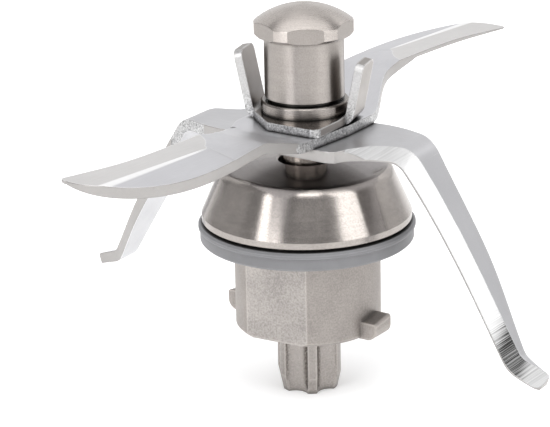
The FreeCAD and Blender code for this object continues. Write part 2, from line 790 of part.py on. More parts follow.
# Drive coupling: six-lobed star with hollow valleys and a lead-in taper, collar on top
def make_coupling():
    body = new_body("drive_coupling")
    star_top = (body_foot + lower_bearing_foot) / 2
    sketch = new_sketch(body, "StarOutline", "XY_Plane", None, S.lobe_turn)
    pitch = 2 * math.pi / S.lobe_count.value
    half = math.asin(S.lobe_width.value / 2 / S.lobe_radius.value)

    def spot(angle, radius):
        return Vector(radius * math.cos(angle), radius * math.sin(angle), 0)

    pieces = []
    for index in range(int(S.lobe_count.value)):
        angle = index * pitch
        tip = S.lobe_radius.value
        pieces.append(Part.Arc(spot(angle - half, tip), spot(angle, tip), spot(angle + half, tip)))
        low = spot(angle + pitch / 2, S.valley_radius.value)
        pieces.append(Part.Arc(spot(angle + half, tip), low, spot(angle + pitch - half, tip)))
    free_outline(sketch, pieces)
    pad(body, "Star", sketch, star_top)
    sketch = circle(new_sketch(body, "CollarOutline", "XY_Plane", star_top), S.collar_radius)
    pad(body, "Collar", sketch, lower_bearing_foot - star_top)
    revolve(body, "LeadIn", [
        (S.lobe_radius - S.lead_in, 0),
        (S.lobe_radius + S.lead_in, 0),
        (S.lobe_radius + S.lead_in, S.lead_in_height),
        (S.lobe_radius, S.lead_in_height),
    ], cut=True)
    sketch = new_sketch(body, "CouplingBore", "XY_Plane", lower_bearing_foot)
    circle(sketch, S.stub_radius + S.slide_fit)
    pocket(body, "CouplingHole", sketch, S.stub_length)


def polar(angle, length=1.0):
    """A step along a direction in the plane of a side view."""
    turn = math.radians(angle)
    return Vector(length * math.cos(turn), length * math.sin(turn), 0)


class BentSheet:
    """The side view of a bent sheet: its upper face as straight runs joined by round bends."""

    def __init__(self, start, runs, thick):
        """runs: (angle, length to the next corner, inner radius of the bend after the run)."""
        self.span = sum(length for _, length, _ in runs)
        self.faces = []
        corners = [start]
        for angle, length, _ in runs:
            corners.append(corners[-1] + polar(angle, length))
        for depth in (0.0, thick):
            pieces = []
            here = corners[0] + polar(runs[0][0] - 90, depth)
            for index, (angle, _, radius) in enumerate(runs):
                if index == len(runs) - 1:
                    there = corners[-1] + polar(angle - 90, depth)
                    pieces.append(Part.LineSegment(here, there))
                    break
                after = runs[index + 1][0]
                turn = after - angle
                convex = turn < 0
                face_radius = radius + thick if convex else radius
                back = face_radius * abs(math.tan(math.radians(turn) / 2))
                centre_side = -90 if convex else 90
                centre = corners[index + 1] - polar(angle, back) + polar(angle + centre_side, face_radius)
                own = face_radius - depth if convex else face_radius + depth
                spots = [centre + polar(a - centre_side, own) for a in (angle, angle + turn / 2, after)]
                pieces.append(Part.LineSegment(here, spots[0]))
                pieces.append(Part.Arc(*spots))
                here = spots[2]
            self.faces.append(pieces)

    def outline(self):
        upper, under = self.faces
        ends = [
            Part.LineSegment(upper[-1].EndPoint, under[-1].EndPoint),
            Part.LineSegment(under[0].StartPoint, upper[0].StartPoint),
        ]
        return upper + [ends[0]] + under + [ends[1]]

    def height(self, along, face):
        """Height of the upper (0) or under (1) face at a distance along the view."""
        for piece in self.faces[face]:
            if piece.StartPoint.x - 1e-6 <= along <= piece.EndPoint.x + 1e-6:
                low = Vector(along, piece.StartPoint.y - self.span, 0)
                high = Vector(along, piece.StartPoint.y + self.span, 0)
                near = piece.toShape().distToShape(Part.LineSegment(low, high).toShape())
                return near[1][0][0].y
        last = self.faces[face][-1]
        slope = last.tangent(last.LastParameter)[0]
        return last.EndPoint.y + (along - last.EndPoint.x) * slope.y / slope.x


# Eared plate: a six-sided plate with two ears bent up that lean outwards
def make_ear_plate():
    body = new_body("ear_plate", S.ear_turn.value)
    thick = S.ear_thick.value
    lean = 90 - S.ear_lean.value
    # the inner faces of the ears and the top of the plate are one bent face
    fold = S.ear_base.value
    rise = S.ear_height.value / math.sin(math.radians(lean))
    twin = S.ear_twin_height.value / math.sin(math.radians(lean))
    foot = Vector(-fold, ear_top.value, 0)
    sheet = BentSheet(foot + polar(180 - lean, twin), [
        (-lean, twin, S.ear_bend.value),
        (0, fold * 2, S.ear_bend.value),
        (lean, rise, 0),
    ], thick)
    half = S.ear_corner_across + S.ear_width
    sketch = new_sketch(body, "EarSide", "XZ_Plane", -half)
    free_outline(sketch, sheet.outline())
    pad(body, "EarStrip", sketch, half * 2)
    reach = S.ear_base + S.ear_height
    frame = S.ear_corner_across * 2
    ear = S.ear_width / 2
    quarter = [
        (S.ear_corner_along, -S.ear_corner_across),
        (S.ear_base, -ear),
        (reach, -ear),
        (reach, ear),
        (S.ear_base, ear),
        (S.ear_side_along, S.ear_side_across),
    ]
    over = ear_top + S.ear_height * 2
    sketch = new_sketch(body, "EarPlan", "XY_Plane", over)
    outline(sketch, quarter + [(-x, -y) for x, y in quarter])
    outline(sketch, [(-frame, -frame), (frame, -frame), (frame, frame), (-frame, frame)])
    pocket(body, "EarTrim", sketch, over)
    cut_seat(body, "EarSeat", upper_top, ear_top)
    DOC.recompute()
    tips = []
    for side, length in ((1, rise), (-1, twin)):
        tip = Vector(fold, ear_top.value, 0) + polar(lean, length) + polar(lean - 90, thick / 2)
        for edge in (ear.value, -ear.value):
            tips.append(body.Placement.multVec(Vector(tip.x * side, edge, tip.y)))
    dress(body, "EarCorners", "Fillet", edges_through(body.Shape, tips, 0.1), S.ear_round)
    DOC.recompute()
    corners = []
    for side in (1, -1):
        spot = Vector(S.ear_corner_along.value, -S.ear_corner_across.value, 0) * side
        corners.append(body.Placement.multVec(spot + UP * (ear_top - S.ear_thick / 2).value))
    dress(body, "PlateCorners", "Fillet", edges_through(body.Shape, corners), S.ear_round)


# Upper blade: a straight strip whose two sickle arms rise, tilt, and are ground flat on top
def make_upper_blade():
    body = new_body("upper_blade", S.upper_turn.value)
    half = S.upper_half.value
    hub = S.upper_rise_start
    sketch = new_sketch(body, "HubStrip", "XY_Plane", lower_top)
    outline(sketch, [(-hub, -half), (hub, -half), (hub, half), (-hub, half)])
    pad(body, "HubPlate", sketch, S.upper_thick)

    # two side views, one beyond each edge: past the rise the keen edge climbs on and the
    # blunt edge sinks a little, which tilts the arm
    start = S.upper_rise_start.value
    end = S.upper_rise_end.value
    level = S.upper_twist_end.value
    belly = S.upper_belly.value
    rise = S.upper_rise.value
    tilt = math.tan(math.radians(S.upper_tilt.value))
    sections = []
    over_edge = S.upper_thick.value
    for name, across in (("Keen", -half - over_edge), ("Blunt", belly + over_edge)):
        climb = S.upper_blunt_rise.value + tilt * (belly - across) - rise
        bend = S.upper_bend.value
        side = BentSheet(Vector(0, upper_top.value, 0), [
            (0, start, bend),
            (math.degrees(math.atan2(rise, end - start)), math.hypot(rise, end - start), bend),
            (math.degrees(math.atan2(climb, level - end)), math.hypot(climb, level - end), bend),
            (0, S.upper_reach.value + over_edge * 2 - level, 0),
        ], S.upper_thick.value)
        sketch = new_sketch(body, "ArmSide" + name, "XZ_Plane", Term(-across))
        free_outline(sketch, side.outline())
        sections.append(sketch)
    arm = body.newObject("PartDesign::AdditiveLoft", "ArmLoft")
    arm.Profile = sections[0]
    arm.Sections = sections[1:]
    arm.Ruled = True

    reach = S.upper_reach.value
    tip = -S.upper_tip_across.value
    round_nose = S.upper_nose.value
    belly_at = S.upper_belly_at.value
    blunt = curve([
        Vector(start, half * 1.01, 0),
        Vector((start + belly_at) / 2, (half + belly) / 2, 0),
        Vector(belly_at, belly, 0),
        Vector(reach * 0.89, belly * 0.84, 0),
        Vector(reach * 0.985, belly * 0.5, 0),
        Vector(reach + round_nose * 0.375, tip + round_nose, 0),
    ])
    nose_middle = Vector(reach + round_nose * 0.22, tip + round_nose * 0.22, 0)
    nose_end = Vector(reach - round_nose / 2, tip + round_nose * 0.1, 0)
    nose = Part.Arc(blunt.EndPoint, nose_middle, nose_end)
    keen = curve([
        nose_end,
        Vector(reach * 0.93, -half * 0.064, 0),
        Vector(reach * 0.83, half * 0.059, 0),
        Vector(reach * 0.65, half * 0.096, 0),
        Vector(reach * 0.48, half * 0.053, 0),
        Vector(end, -half * 0.011, 0),
        Vector((start + end) / 2, -half * 0.31, 0),
        Vector(start * 1.12, -half * 0.574, 0),
        Vector(start * 0.67, -half * 0.894, 0),
    ])
    far = reach * 1.3
    wide = half * 3
    loop = [Vector(0, -half, 0), Vector(0, -wide, 0), Vector(far, -wide, 0), Vector(far, wide, 0)]
    loop += [Vector(0, wide, 0), Vector(0, half, 0), blunt.StartPoint]
    over = upper_top + S.upper_rise * 4
    sketch = new_sketch(body, "ArmPlan", "XY_Plane", over)
    pieces = lines(loop) + [blunt, nose, keen] + lines([keen.EndPoint, loop[0]])
    free_outline(sketch, pieces)
    trim = pocket(body, "ArmTrim", sketch, over - seat_foot)
    ground = upper_top + S.upper_blunt_rise + S.upper_grind
    sketch = new_sketch(body, "ArmGrind", "XY_Plane", over)
    grind_start = S.upper_grind_start
    outline(sketch, [(grind_start, -S.upper_half), (far, -S.upper_half), (far, wide), (grind_start, wide)])
    grind = pocket(body, "ArmGround", sketch, over - ground)
    DOC.recompute()
    around(body, "Arms", [arm, trim, grind], 2)
    cut_seat(body, "UpperSeat", lower_top, upper_top)


# Lower blade: a bent strip whose arms drop steeply and turn out in short feet, ground on one edge
def make_lower_blade():
    body = new_body("lower_blade", S.lower_turn.value)
    drop = -S.lower_drop.value
    fall = S.lower_drop_height.value / math.sin(math.radians(S.lower_drop.value))
    bend_at = S.lower_bend_at.value
    foot = -S.foot_angle.value
    top = lower_top.value
    sheet = BentSheet(Vector(0, top, 0), [
        (0, bend_at, S.lower_bend.value),
        (drop, fall, S.foot_bend.value),
        (foot, S.foot_length.value, 0),
    ], S.lower_thick.value)
    width = S.lower_half.value
    wide = S.lower_half * 1.4
    sketch = new_sketch(body, "DropSide", "XZ_Plane", -wide)
    free_outline(sketch, sheet.outline())
    strip = pad(body, "DropStrip", sketch, wide * 2)

    foot_at = bend_at + S.lower_drop_height.value / math.tan(math.radians(S.lower_drop.value))
    end = foot_at + S.foot_length.value * math.cos(math.radians(foot))
    keen = through(end, width, [
        (0.239, -1.01),
        (0.264, -0.814),
        (0.326, -0.637),
        (bend_at / end, -0.49),
        (0.671, -0.559),
        (0.794, -0.726),
        (0.883, -0.843),
        (0.957, -0.873),
    ])
    toe_middle = Vector(end * 0.998, -width * 0.745, 0)
    toe_end = Vector(end * 0.996, -width * 0.578, 0)
    toe = Part.Arc(keen.EndPoint, toe_middle, toe_end)
    back = through(end, width, [
        (0.996, -0.578),
        (0.869, -0.333),
        (0.71, 0.137),
        (bend_at / end, 0.49),
        (0.345, 0.676),
        (0.178, 0.765),
    ])
    far = end * 1.4
    side = width * 3
    loop = [Vector(0, width, 0), Vector(0, side, 0), Vector(far, side, 0), Vector(far, -side, 0)]
    loop += [Vector(0, -side, 0), Vector(0, -width, 0), Vector(end * 0.207, -width * 1.059, 0)]
    loop += [keen.StartPoint]
    over = lower_top + S.lower_thick
    sketch = new_sketch(body, "DropPlan", "XY_Plane", over)
    pieces = lines(loop) + [keen, toe, back] + lines([back.EndPoint, loop[0]])
    free_outline(sketch, pieces)
    trim = pocket(body, "DropTrim", sketch, over)

    # the ground edge: a wedge from the upper face down to a thin land, section by section
    bevel_width = S.lower_bevel.value
    land = S.lower_land.value / S.lower_thick.value
    run = foot_at - bend_at
    stations = [bend_at * share for share in (0.58, 0.71, 0.8)]
    stations += [bend_at + S.lower_bend.value * step / 5 for step in range(-4, 4)]
    stations += [bend_at + run * share for share in (0.22, 0.42, 0.62)]
    stations += [foot_at + S.foot_bend.value * step / 5 for step in (-4, -3, -2, -1, 0, 1, 2, 3)]
    stations += [end + S.lower_thick.value / 2]
    probe = keen.toShape()
    cuts = []
    for index, along in enumerate(stations):
        edge = keen.EndPoint.y * 0.966
        if along < keen.EndPoint.x:
            line = Part.LineSegment(Vector(along, -side, 0), Vector(along, 0, 0)).toShape()
            edge = probe.distToShape(line)[1][0][0].y
        upper = sheet.height(along, 0)
        under = sheet.height(along, 1)
        # the face runs in over the first stations
        share = min(1.0, 0.25 + (along - stations[0]) / (bevel_width * 1.33))
        inner = Vector(edge + bevel_width * share, upper, 0)
        deep = Vector(edge, under + (upper - under) * (land + 1 - share) * 0.9, 0)
        slant = deep - inner
        low = deep + slant * 0.4
        high = inner - slant * 0.4
        outside = Vector(low.x - bevel_width, high.y + bevel_width, 0)
        sketch = new_sketch(body, "BevelSection" + str(index), "YZ_Plane", Term(along))
        free_outline(sketch, lines([high, low, outside, high]))
        cuts.append(sketch)
    bevel = body.newObject("PartDesign::SubtractiveLoft", "GroundEdge")
    bevel.Profile = cuts[0]
    bevel.Sections = cuts[1:]
    bevel.Ruled = True
    DOC.recompute()
    around(body, "DropArms", [strip, trim, bevel], 2)
    cut_seat(body, "LowerSeat", seat_foot, lower_top)


make_cap_nut()
make_clamp_ring()
make_ear_plate()
make_upper_blade()
make_lower_blade()
make_spindle()
make_bell()
make_gasket()
make_housing()
make_turned_rings()
make_bearing("upper_bearing", upper_bearing_foot)
make_bearing("lower_bearing", lower_bearing_foot)
make_coupling()
DOC.recompute()

failed = [item.Name for item in DOC.Objects if {"Invalid", "Error"} & set(item.State)]
if failed:
    raise RuntimeError("objects that failed: " + ", ".join(failed))
for node in NODES:
    if node.Shape.isNull() or not node.Shape.isValid():
        raise RuntimeError("bad shape: " + node.Label)

os.makedirs("parts", exist_ok=True)
for node in NODES:
    node.Shape.exportStep("parts/" + node.Label + ".step")
    box = node.Shape.BoundBox
    print(node.Label, len(node.Shape.Solids), round(node.Shape.Volume, 1),
          [round(v, 2) for v in (box.XMin, box.XMax, box.YMin, box.YMax, box.ZMin, box.ZMax)])
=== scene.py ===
import math

import bpy
from mathutils import Matrix, Vector

# The blade assembly on a plain pale floor: the CAD pieces keep their shapes, and every surface
# gets its finish here. Lengths are metres in the frame of the part, whose Z is the spindle.

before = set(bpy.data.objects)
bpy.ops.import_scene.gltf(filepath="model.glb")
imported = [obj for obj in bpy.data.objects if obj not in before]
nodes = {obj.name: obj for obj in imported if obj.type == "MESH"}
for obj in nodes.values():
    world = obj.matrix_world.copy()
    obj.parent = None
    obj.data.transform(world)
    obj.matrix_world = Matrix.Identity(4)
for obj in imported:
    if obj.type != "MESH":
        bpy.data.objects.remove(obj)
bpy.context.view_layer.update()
scene = bpy.context.scene

MM = 0.001

# Painted shade darkens the colour within this distance of a corner or of another piece
PAINTED_SHADE_REACH = 0.9 * MM

# The camera stands where the photograph was taken from. The sensor's width is in millimetres, and
# the focal length in pixels of the photograph.
TARGET = Vector((-5.576, 0.0, 32.27)) * MM
ELEVATION = math.radians(18.757)
ROLL = math.radians(-1.257)
DISTANCE = 427.4 * MM
SENSOR = 36.0
PHOTO_WIDTH = 550
FOCAL_PIXELS = 2436.5

# Headings of the plates, of the body's flats and of one flat of the cap's hexagon, from X towards Y
UPPER_TURN = math.radians(50.0)
LOWER_TURN = math.radians(-33.0)
EAR_TURN = math.radians(-20.0)
BODY_FLAT_TURN = math.radians(60.0)
HEAD_FLAT_TURN = math.radians(31.6)
HEXAGON_STEP = math.radians(60.0)
FLAT_TOLERANCE = math.radians(0.5)

# Places where a piece's finish changes: heights above the foot of the star
BELL_POLISHED_FROM = 40.9 * MM
HEAD_UNDERSIDE = 64.7 * MM
GROUND_LEVEL = 53.6 * MM
EAR_SPECKLE = (51.5 * MM, 55.5 * MM)

# The same along a blade, as distances from the spindle, or from the blade's middle line
HUB_EDGE_END = 14.0 * MM
LOWER_ARM_START = 4.0 * MM
LOWER_PITTED = (16.0 * MM, 26.0 * MM)
# A painted highlight runs along the upper blade's crease: its offset from the middle line, where it begins
# and ends, and its widths there
CREASE_OFFSET = 6.6 * MM
CREASE_HIGHLIGHT_ENDS = (33.4 * MM, 57.4 * MM)
CREASE_HIGHLIGHT_WIDTHS = (0.35 * MM, 1.2 * MM)

# How a face is told to be an edge, a top or a flat: by the share of its normal that points up,
# sideways or across the heading of its flat
UPPER_EDGE_UP = 0.5
UPPER_LEVEL_UP = 0.9999
LOWER_EDGE_UP = 0.4
GRIND_UP = 0.1
GRIND_SLOPE = (0.25, 0.75)
EAR_TOP_UP = 0.98
EAR_EDGE_ACROSS = 0.3
BELL_TOP_UP = 0.9
HEAD_UPRIGHT_UP = 0.01
BODY_FLAT_ACROSS = 0.9995

# The marks across the lower blade's ground edge are darkest in the foot bend, between these distances from
# the spindle, where a painted dark reflection also covers the whole edge; the marks show again above a
# height near the hub
BEND_STARTS = (39.0 * MM, 43.0 * MM)
BEND_ENDS = (45.5 * MM, 48.0 * MM)
HUB_MARKS = (43.0 * MM, 47.0 * MM)
MARK_PITCH = 0.3 * MM
MARK_WOBBLE = 0.6 * MM

# A painted shade: a dark streak on the upper blade, in the gap where its left arm leaves the hub
GAP_SHADE_PLACE = Vector((-12.9, -5.9, 50.0)) * MM
GAP_SHADE_TURN = math.radians(38.0)
GAP_SHADE_LENGTH = 2.4 * MM
GAP_SHADE_WIDTH = 0.45 * MM

# The soft lamps: azimuth and elevation in degrees, seen from the part, with azimuth 0 at the
# viewer's side and 90 at the viewer's right; distance, width and height in metres; power in watts
LAMPS = (
    ("key", -44, 30, 1.1, 0.5, 1.0, 5.6),
    ("fill", 54, 30, 1.1, 0.55, 1.0, 4.3),
    ("top", 0, 87, 1.1, 1.3, 1.3, 6.0),
    ("brow", 4, 60, 1.1, 0.45, 0.4, 1.8),
    ("back", 180, 28, 1.3, 2.4, 1.3, 5.7),
    ("left", -100, 22, 1.2, 0.9, 0.9, 0.4),
    ("right", 117, 24, 1.2, 0.9, 0.9, 1.3),
)
WORLD_STRENGTH = 0.36
WORLD_COLOUR = (1.0, 0.99, 1.0, 1.0)
FLOOR_HALF = 3.0


class Shader:
    """A material under construction: short calls that add nodes and wire them up."""

    def __init__(self, name, slot):
        self.material = bpy.data.materials.new(name)
        self.material.use_nodes = True
        self.tree = self.material.node_tree
        self.bsdf = self.tree.nodes["Principled BSDF"]
        self.slot = slot
        coordinates = self.tree.nodes.new("ShaderNodeTexCoord")
        self.place = coordinates.outputs["Object"]

    def node(self, kind, **settings):
        """A new node with some of its settings changed."""
        made = self.tree.nodes.new(kind)
        for key, value in settings.items():
            setattr(made, key, value)
        return made

    def link(self, source, target):
        self.tree.links.new(source, target)

    def put(self, socket, value):
        """Links another socket to this one, or sets it to a constant."""
        if isinstance(value, bpy.types.NodeSocket):
            self.link(value, socket)
        else:
            socket.default_value = value

    def math(self, operation, first, second=0.0, clamp=False):
        made = self.node("ShaderNodeMath", operation=operation, use_clamp=clamp)
        self.put(made.inputs[0], first)
        self.put(made.inputs[1], second)
        return made.outputs[0]

    def axes(self):
        """X, Y and Z of a point, as three sockets."""
        made = self.node("ShaderNodeSeparateXYZ")
        self.link(self.place, made.inputs[0])
        return made.outputs

    def along(self, direction):
        """Distance of a point along a direction."""
        made = self.node("ShaderNodeVectorMath", operation="DOT_PRODUCT")
        self.link(self.place, made.inputs[0])
        made.inputs[1].default_value = direction
        return made.outputs["Value"]

    def vector(self, x, y, z):
        made = self.node("ShaderNodeCombineXYZ")
        for socket, value in zip(made.inputs, (x, y, z)):
            self.put(socket, value)
        return made.outputs[0]

    def noise(self, at, scale, detail=4.0, roughness=0.55):
        made = self.node("ShaderNodeTexNoise")
        self.link(at, made.inputs["Vector"])
        made.inputs["Scale"].default_value = scale
        made.inputs["Detail"].default_value = detail
        made.inputs["Roughness"].default_value = roughness
        return made.outputs["Fac"]

    def fit(self, value, low, high, to_low, to_high, smooth=False):
        """Maps the range from low to high onto another range, and holds the ends."""
        made = self.node("ShaderNodeMapRange")
        made.interpolation_type = "SMOOTHSTEP" if smooth else "LINEAR"
        self.put(made.inputs["Value"], value)
        for key, number in (("From Min", low), ("From Max", high), ("To Min", to_low), ("To Max", to_high)):
            made.inputs[key].default_value = number
        return made.outputs["Result"]

    def blend(self, factor, first, second):
        """The first colour at 0 and the second at 1. A Mix node has its colours at 6, 7 and 2."""
        made = self.node("ShaderNodeMix", data_type="RGBA")
        self.put(made.inputs["Factor"], factor)
        self.put(made.inputs[6], first)
        self.put(made.inputs[7], second)
        return made.outputs[2]

    def bump(self, height, distance, strength, under=None):
        """Relief from a height pattern, on top of another shading normal if there is one."""
        made = self.node("ShaderNodeBump")
        made.inputs["Strength"].default_value = strength
        made.inputs["Distance"].default_value = distance
        self.link(height, made.inputs["Height"])
        if under:
            self.link(under, made.inputs["Normal"])
        return made.outputs["Normal"]

    def soft_edges(self, radius):
        """Rounds sharp edges in the shading only."""
        made = self.node("ShaderNodeBevel", samples=4)
        made.inputs["Radius"].default_value = radius
        return made.outputs["Normal"]

    def edge_lines(self, radius):
        """1 along the edges, even slight ones, and 0 away from them."""
        surface = self.node("ShaderNodeNewGeometry")
        made = self.node("ShaderNodeVectorMath", operation="DOT_PRODUCT")
        self.link(self.soft_edges(radius), made.inputs[0])
        self.link(surface.outputs["Normal"], made.inputs[1])
        return self.fit(made.outputs["Value"], 0.9993, 0.998, 0.0, 1.0)

    def with_painted_shade(self, colour, least=0.0):
        """The colour with painted shade, darker in narrow corners and beside other pieces."""
        made = self.node("ShaderNodeAmbientOcclusion", samples=8)
        made.inputs["Distance"].default_value = PAINTED_SHADE_REACH
        open_share = self.fit(made.outputs["AO"], 0.45, 0.95, least, 1.0)
        return self.blend(open_share, grey(0.02, 0.05), colour)

    def streak(self, place, direction, length, width):
        """1 on a short straight mark with ragged sides, and 0 off it."""
        across = Vector((-direction.y, direction.x, 0.0))
        ragged = self.fit(self.noise(self.place, 2500.0, 3.0), 0.3, 0.7, -width, width)
        lengthwise = self.math("SUBTRACT", self.along(direction), place.dot(direction))
        sideways = self.math("SUBTRACT", self.along(across), place.dot(across))
        sideways = self.math("ADD", sideways, ragged)
        inside = self.fit(self.math("ABSOLUTE", lengthwise), length * 0.35, length * 0.5, 1.0, 0.0)
        near = self.fit(self.math("ABSOLUTE", sideways), width * 0.3, width, 1.0, 0.0)
        return self.math("MULTIPLY", inside, near)

    def crease_highlight(self):
        """A painted highlight: 1 on the line where the upper blade's ground band ends, which widens towards
        the tip.
        """
        out = self.along(heading(UPPER_TURN))
        across = self.along(heading(UPPER_TURN + math.pi / 2))
        keen_side = self.math("MULTIPLY", across, self.math("SIGN", out))
        off = self.math("ABSOLUTE", self.math("SUBTRACT", keen_side, CREASE_OFFSET))
        reach = self.math("ABSOLUTE", out)
        width = self.fit(reach, *CREASE_HIGHLIGHT_ENDS, *CREASE_HIGHLIGHT_WIDTHS)
        near = self.fit(self.math("DIVIDE", off, width), 0.4, 1.0, 1.0, 0.0, smooth=True)
        begun = self.fit(reach, CREASE_HIGHLIGHT_ENDS[0] - 1.0 * MM, CREASE_HIGHLIGHT_ENDS[0] + 3.0 * MM, 0.0, 1.0, smooth=True)
        return self.math("MULTIPLY", near, begun)

    def round_the_axis(self):
        """Radius and height as a vector, so that a pattern runs in rings about the spindle."""
        x, y, z = self.axes()
        flat = self.vector(x, y, 0.0)
        length = self.node("ShaderNodeVectorMath", operation="LENGTH")
        self.link(flat, length.inputs[0])
        return self.vector(length.outputs["Value"], 0.0, z)

    def ring_tangent(self):
        """The direction of the turning marks, round the spindle."""
        made = self.node("ShaderNodeTangent", direction_type="RADIAL", axis="Z")
        return made.outputs[0]


def grey(level, warmth=0.0):
    """A grey with a little warmth, or a little blue where the warmth is negative."""
    if warmth < 0:
        return (level, level, level * (1 - warmth), 1.0)
    return (level * (1 + warmth), level, level * (1 - 0.75 * warmth), 1.0)


def turned_steel(name, slot, level, warmth, roughness, anisotropy, lines=0.35, contrast=0.1):
    """Lathe-turned steel: a fine grain, faint rings about the axis and a soft cloudiness."""
    s = Shader(name, slot)
    rings = s.round_the_axis()
    fine = s.noise(rings, 9000.0, 3.0)
    broad = s.noise(rings, 1500.0, 4.0)
    cloud = s.noise(s.place, 160.0, 5.0)
    grain = s.noise(s.place, 4200.0, 3.0, 0.6)
    shade = s.math("ADD", s.math("MULTIPLY", broad, 0.15), s.math("MULTIPLY", cloud, 0.35))
    shade = s.math("ADD", shade, s.math("MULTIPLY", grain, 0.5))
    shade = s.fit(shade, 0.4, 0.6, 0.0, 1.0)
    colour = s.blend(shade, grey(level * (1 - contrast), warmth), grey(level * (1 + contrast), warmth))
    s.link(s.with_painted_shade(colour), s.bsdf.inputs["Base Color"])
    rough = s.math("ADD", s.math("MULTIPLY", fine, 0.5), s.math("MULTIPLY", cloud, 0.5))
    s.link(s.fit(rough, 0.3, 0.7, roughness * 0.85, roughness * 1.2), s.bsdf.inputs["Roughness"])
    s.bsdf.inputs["Metallic"].default_value = 1.0
    s.bsdf.inputs["Anisotropic"].default_value = anisotropy
    s.bsdf.inputs["Anisotropic Rotation"].default_value = 0.25
    s.link(s.ring_tangent(), s.bsdf.inputs["Tangent"])
    height = s.math("ADD", s.math("MULTIPLY", grain, 0.6), s.math("MULTIPLY", fine, 0.3))
    height = s.math("ADD", height, s.math("MULTIPLY", broad, 0.1))
    s.link(s.bump(height, 0.01 * MM, lines, s.soft_edges(0.18 * MM)), s.bsdf.inputs["Normal"])
    return s


def sheet_steel(
        name, slot, level, warmth, roughness, direction,
        grain_height=0.3, edge_highlight=0.6, gap_shade=False, painted_crease=False):
    """Satin stainless sheet with a faint straight grain and soft smudges, with painted highlights along its
    edges and, where asked, along the crease, and a painted shade streak.
    """
    s = Shader(name, slot)
    across = Vector((-direction.y, direction.x, 0.0))
    grain_place = s.vector(s.math("MULTIPLY", s.along(direction), 0.04), s.along(across), s.axes()[2])
    grain = s.noise(grain_place, 5200.0, 3.0)
    cloud = s.noise(s.place, 90.0, 4.0)
    smudge = s.noise(s.place, 260.0, 5.0, 0.65)
    shade = s.math("ADD", s.math("MULTIPLY", cloud, 0.6), s.math("MULTIPLY", grain, 0.4))
    shade = s.fit(shade, 0.35, 0.65, 0.0, 1.0)
    colour = s.blend(shade, grey(level * 0.95, warmth), grey(level * 1.04, warmth))
    dirt = s.fit(smudge, 0.68, 0.8, 0.0, 0.35, smooth=True)
    colour = s.blend(dirt, colour, grey(level * 0.6, 0.03))
    if edge_highlight:
        # Painted highlights along the edges
        colour = s.blend(s.math("MULTIPLY", s.edge_lines(0.35 * MM), edge_highlight), colour, grey(0.97))
    if painted_crease:
        # A painted highlight along the crease
        colour = s.blend(s.crease_highlight(), colour, grey(1.0))
    if gap_shade:
        # A painted shade streak in the gap where the upper blade's left arm leaves the hub
        mark = s.streak(GAP_SHADE_PLACE, heading(GAP_SHADE_TURN), GAP_SHADE_LENGTH, GAP_SHADE_WIDTH)
        colour = s.blend(mark, colour, grey(0.04))
    s.link(s.with_painted_shade(colour), s.bsdf.inputs["Base Color"])
    s.link(s.fit(smudge, 0.3, 0.8, roughness * 0.85, roughness * 1.2), s.bsdf.inputs["Roughness"])
    s.bsdf.inputs["Metallic"].default_value = 1.0
    s.link(s.bump(grain, 0.004 * MM, grain_height, s.soft_edges(0.3 * MM)), s.bsdf.inputs["Normal"])
    return s


def cut_edge(name, slot, level, fade=None):
    """The tumbled edge of the sheet: speckled with pits, which fade out between two heights."""
    s = Shader(name, slot)
    pits = s.noise(s.place, 3400.0, 3.0, 0.6)
    patches = s.noise(s.place, 500.0, 4.0)
    mixed = s.math("ADD", s.math("MULTIPLY", pits, 0.7), s.math("MULTIPLY", patches, 0.3))
    shade = s.fit(mixed, 0.38, 0.62, 0.0, 1.0)
    amount = 1.0
    if fade:
        amount = s.fit(s.axes()[2], *fade, 1.0, 0.2, smooth=True)
    speckled = s.blend(shade, grey(level * 0.42), grey(level * 1.4))
    colour = s.blend(amount, grey(level, 0.01), speckled)
    s.link(s.with_painted_shade(colour), s.bsdf.inputs["Base Color"])
    s.link(s.fit(patches, 0.3, 0.7, 0.3, 0.5), s.bsdf.inputs["Roughness"])
    s.bsdf.inputs["Metallic"].default_value = 1.0
    height = s.math("MULTIPLY", pits, amount)
    s.link(s.bump(height, 0.06 * MM, 0.6, s.soft_edges(0.2 * MM)), s.bsdf.inputs["Normal"])
    return s


def ground_steel(name, slot, level, path):
    """A ground edge: bright metal, with marks across the path, and a painted dark reflection that darkens
    the marks and the whole edge in the foot bend.
    """
    s = Shader(name, slot)
    run = s.along(path)
    wobble = s.math("MULTIPLY", s.noise(s.place, 120.0, 2.0), MARK_WOBBLE)
    marks = s.noise(s.vector(s.math("ADD", run, wobble), 0.0, 0.0), 1.0 / MARK_PITCH, 5.0, 0.7)
    patches = s.noise(s.vector(run, 0.0, 0.0), 160.0, 2.0)
    deep = s.fit(marks, 0.36, 0.6, 0.0, 1.0)
    depth = s.fit(patches, 0.35, 0.65, 0.65, 1.0, smooth=True)
    out = s.math("ABSOLUTE", s.along(heading(LOWER_TURN)))
    bend = s.fit(out, *BEND_STARTS, 0.28, 1.0, smooth=True)
    beyond = s.fit(out, *BEND_ENDS, 1.0, 0.55, smooth=True)
    hub = s.fit(s.axes()[2], *HUB_MARKS, 0.0, 0.12, smooth=True)
    contrast = s.math("ADD", s.math("MULTIPLY", bend, beyond), hub)
    cut = s.math("SUBTRACT", 1.0, deep)
    # Painted dark reflection: the whole edge darkens in the foot bend
    painted_bend_dark = s.math("MULTIPLY", s.math("POWER", contrast, 4.0), 0.55)
    amount = s.math("ADD", s.math("MULTIPLY", cut, s.math("MULTIPLY", depth, contrast)), painted_bend_dark, clamp=True)
    s.link(s.blend(amount, grey(level), grey(level * 0.04, 0.02)), s.bsdf.inputs["Base Color"])
    s.link(s.fit(marks, 0.3, 0.7, 0.28, 0.4), s.bsdf.inputs["Roughness"])
    s.bsdf.inputs["Metallic"].default_value = 1.0
    s.link(s.bump(marks, 0.03 * MM, 0.4, s.soft_edges(0.12 * MM)), s.bsdf.inputs["Normal"])
    return s


